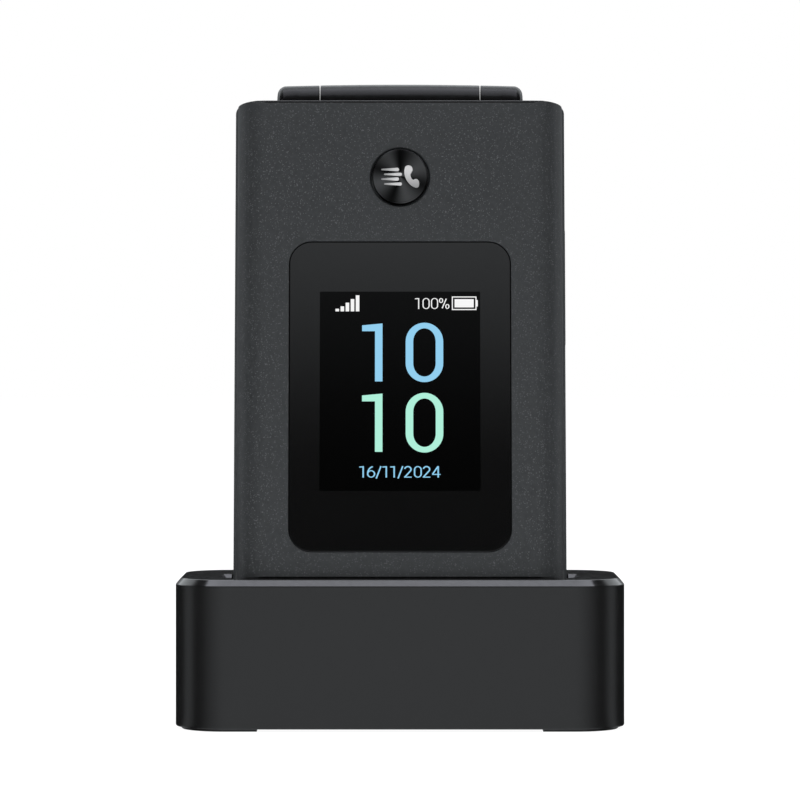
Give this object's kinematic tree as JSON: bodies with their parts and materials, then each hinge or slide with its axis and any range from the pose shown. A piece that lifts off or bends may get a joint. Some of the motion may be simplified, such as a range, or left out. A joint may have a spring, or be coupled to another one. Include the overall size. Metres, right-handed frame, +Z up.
{
  "type": "flip phone in charging cradle",
  "caption": "Closed clamshell phone with outer display and round quick key, leaning back in a rounded charging cradle; it lifts out and its lid opens on a barrel hinge.",
  "frame": {"origin": "centre of the bounding box's base, on the surface that the cradle's feet stand on", "axes": "+Z up, +X to the right as seen from the front, -Y towards the front; the phone leans back towards +Y"},
  "size_m": [0.0778, 0.0368, 0.1127],
  "materials": {
    "cradle_plastic": "satin black moulded plastic",
    "well_plastic": "black moulded plastic",
    "base_plastic": "fine textured black plastic",
    "ballast_steel": "plain pressed steel",
    "circuit_board": "green solder mask",
    "connector_steel": "plated steel shell",
    "gold_contact": "gold plated contact",
    "foot_rubber": "matt black rubber",
    "screw_steel": "zinc plated steel",
    "case_plastic": "dark grey satin plastic",
    "battery_cover_plastic": "dark grey soft-touch plastic",
    "battery_sleeve": "foil pouch in a printed-free grey sleeve",
    "dome_film": "translucent film over metal domes",
    "side_key_plastic": "black satin plastic",
    "camera_black": "black ring and glass lens",
    "flash_plastic": "clear frosted lens",
    "speaker_grey": "pressed metal basket",
    "motor_steel": "plain metal can",
    "hinge_steel": "ground steel",
    "lid_paint": "dark grey satin paint with fine metallic flake",
    "frame_plastic": "dark grey satin plastic",
    "window_glass": "black-bordered flat glass",
    "outer_display": "lit panel behind the glass",
    "inner_display": "unlit panel behind the glass",
    "spun_black_metal": "black anodised, circular brushed",
    "magnet_steel": "nickel plated magnet",
    "nav_ring_metal": "satin grey metal ring",
    "key_plastic": "dark grey satin plastic with white legend"
  },
  "bodies": {
    "cradle": {"cradle_shell": "cradle_plastic", "well_tub": "well_plastic", "base_plate": "base_plastic", "ballast_plate": "ballast_steel", "charging_board": "circuit_board", "inlet_socket": "connector_steel", "contact_block": "well_plastic", "rubber_feet": "foot_rubber", "cradle_screws": "screw_steel"},
    "phone": {"keypad_housing": "case_plastic", "rear_housing": "case_plastic", "battery_cover": "battery_cover_plastic", "battery": "battery_sleeve", "main_board": "circuit_board", "dome_sheet": "dome_film", "camera_module": "camera_black", "flash_lens": "flash_plastic", "loudspeaker": "speaker_grey", "chin_board": "circuit_board", "phone_socket": "connector_steel", "charging_pads": "gold_contact", "vibration_motor": "motor_steel", "microphone": "motor_steel", "case_screws": "screw_steel", "cam_shaft": "hinge_steel", "pivot_pin": "hinge_steel"},
    "lid": {"lid_cover": "lid_paint", "lid_frame": "frame_plastic", "outer_window": "window_glass", "outer_display": "outer_display", "inner_window": "window_glass", "inner_display": "inner_display", "lid_board": "circuit_board", "earpiece": "speaker_grey", "lid_magnet": "magnet_steel", "lid_bumpers": "foot_rubber", "hinge_cartridge": "hinge_steel"},
    "key_1": {"key_1": "key_plastic"},
    "key_2": {"key_2": "key_plastic"},
    "key_3": {"key_3": "key_plastic"},
    "key_4": {"key_4": "key_plastic"},
    "key_5": {"key_5": "key_plastic"},
    "key_6": {"key_6": "key_plastic"},
    "key_7": {"key_7": "key_plastic"},
    "key_8": {"key_8": "key_plastic"},
    "key_9": {"key_9": "key_plastic"},
    "key_star": {"key_star": "key_plastic"},
    "key_0": {"key_0": "key_plastic"},
    "key_hash": {"key_hash": "key_plastic"},
    "soft_key_left": {"soft_key_left": "key_plastic"},
    "soft_key_right": {"soft_key_right": "key_plastic"},
    "nav_ring": {"nav_ring": "nav_ring_metal"},
    "ok_key": {"ok_key": "key_plastic"},
    "call_key": {"call_key": "key_plastic"},
    "clear_key": {"clear_key": "key_plastic"},
    "end_key": {"end_key": "key_plastic"},
    "volume_key": {"volume_key": "side_key_plastic"},
    "quick_key": {"quick_key": "spun_black_metal"},
    "contact_pin_left": {"contact_pin_left": "gold_contact"},
    "contact_pin_right": {"contact_pin_right": "gold_contact"}
  },
  "joints": [
    {"name": "phone_lift", "type": "slide", "parent": "cradle", "child": "phone", "axis": [0, 0.1478, 0.989], "range_m": [0, 0.08]},
    {"name": "lid_hinge", "type": "hinge", "parent": "phone", "child": "lid", "pos_m": [0, 0.00977, 0.10721], "axis": [-1, 0, 0], "range_deg": [0, 160]},
    {"name": "key_1_press", "type": "slide", "parent": "phone", "child": "key_1", "axis": [0, 0.989, -0.1478], "range_m": [0, 0.00035], "stiffness_N_per_m": 2000},
    {"name": "key_2_press", "type": "slide", "parent": "phone", "child": "key_2", "axis": [0, 0.989, -0.1478], "range_m": [0, 0.00035], "stiffness_N_per_m": 2000},
    {"name": "key_3_press", "type": "slide", "parent": "phone", "child": "key_3", "axis": [0, 0.989, -0.1478], "range_m": [0, 0.00035], "stiffness_N_per_m": 2000},
    {"name": "key_4_press", "type": "slide", "parent": "phone", "child": "key_4", "axis": [0, 0.989, -0.1478], "range_m": [0, 0.00035], "stiffness_N_per_m": 2000},
    {"name": "key_5_press", "type": "slide", "parent": "phone", "child": "key_5", "axis": [0, 0.989, -0.1478], "range_m": [0, 0.00035], "stiffness_N_per_m": 2000},
    {"name": "key_6_press", "type": "slide", "parent": "phone", "child": "key_6", "axis": [0, 0.989, -0.1478], "range_m": [0, 0.00035], "stiffness_N_per_m": 2000},
    {"name": "key_7_press", "type": "slide", "parent": "phone", "child": "key_7", "axis": [0, 0.989, -0.1478], "range_m": [0, 0.00035], "stiffness_N_per_m": 2000},
    {"name": "key_8_press", "type": "slide", "parent": "phone", "child": "key_8", "axis": [0, 0.989, -0.1478], "range_m": [0, 0.00035], "stiffness_N_per_m": 2000},
    {"name": "key_9_press", "type": "slide", "parent": "phone", "child": "key_9", "axis": [0, 0.989, -0.1478], "range_m": [0, 0.00035], "stiffness_N_per_m": 2000},
    {"name": "key_star_press", "type": "slide", "parent": "phone", "child": "key_star", "axis": [0, 0.989, -0.1478], "range_m": [0, 0.00035], "stiffness_N_per_m": 2000},
    {"name": "key_0_press", "type": "slide", "parent": "phone", "child": "key_0", "axis": [0, 0.989, -0.1478], "range_m": [0, 0.00035], "stiffness_N_per_m": 2000},
    {"name": "key_hash_press", "type": "slide", "parent": "phone", "child": "key_hash", "axis": [0, 0.989, -0.1478], "range_m": [0, 0.00035], "stiffness_N_per_m": 2000},
    {"name": "soft_key_left_press", "type": "slide", "parent": "phone", "child": "soft_key_left", "axis": [0, 0.989, -0.1478], "range_m": [0, 0.00035], "stiffness_N_per_m": 2000},
    {"name": "soft_key_right_press", "type": "slide", "parent": "phone", "child": "soft_key_right", "axis": [0, 0.989, -0.1478], "range_m": [0, 0.00035], "stiffness_N_per_m": 2000},
    {"name": "nav_ring_press", "type": "slide", "parent": "phone", "child": "nav_ring", "axis": [0, 0.989, -0.1478], "range_m": [0, 0.00035], "stiffness_N_per_m": 2000},
    {"name": "ok_key_press", "type": "slide", "parent": "phone", "child": "ok_key", "axis": [0, 0.989, -0.1478], "range_m": [0, 0.00035], "stiffness_N_per_m": 2000},
    {"name": "call_key_press", "type": "slide", "parent": "phone", "child": "call_key", "axis": [0, 0.989, -0.1478], "range_m": [0, 0.00035], "stiffness_N_per_m": 2000},
    {"name": "clear_key_press", "type": "slide", "parent": "phone", "child": "clear_key", "axis": [0, 0.989, -0.1478], "range_m": [0, 0.00035], "stiffness_N_per_m": 2000},
    {"name": "end_key_press", "type": "slide", "parent": "phone", "child": "end_key", "axis": [0, 0.989, -0.1478], "range_m": [0, 0.00035], "stiffness_N_per_m": 2000},
    {"name": "volume_key_press", "type": "slide", "parent": "phone", "child": "volume_key", "axis": [-1, 0, 0], "range_m": [0, 0.0002], "stiffness_N_per_m": 2000},
    {"name": "quick_key_press", "type": "slide", "parent": "lid", "child": "quick_key", "axis": [0, 0.989, -0.1478], "range_m": [0, 0.0003], "stiffness_N_per_m": 2000},
    {"name": "contact_pin_left_press", "type": "slide", "parent": "cradle", "child": "contact_pin_left", "axis": [0, -0.1478, -0.989], "range_m": [0, 0.0008], "stiffness_N_per_m": 500},
    {"name": "contact_pin_right_press", "type": "slide", "parent": "cradle", "child": "contact_pin_right", "axis": [0, -0.1478, -0.989], "range_m": [0, 0.0008], "stiffness_N_per_m": 500}
  ]
}
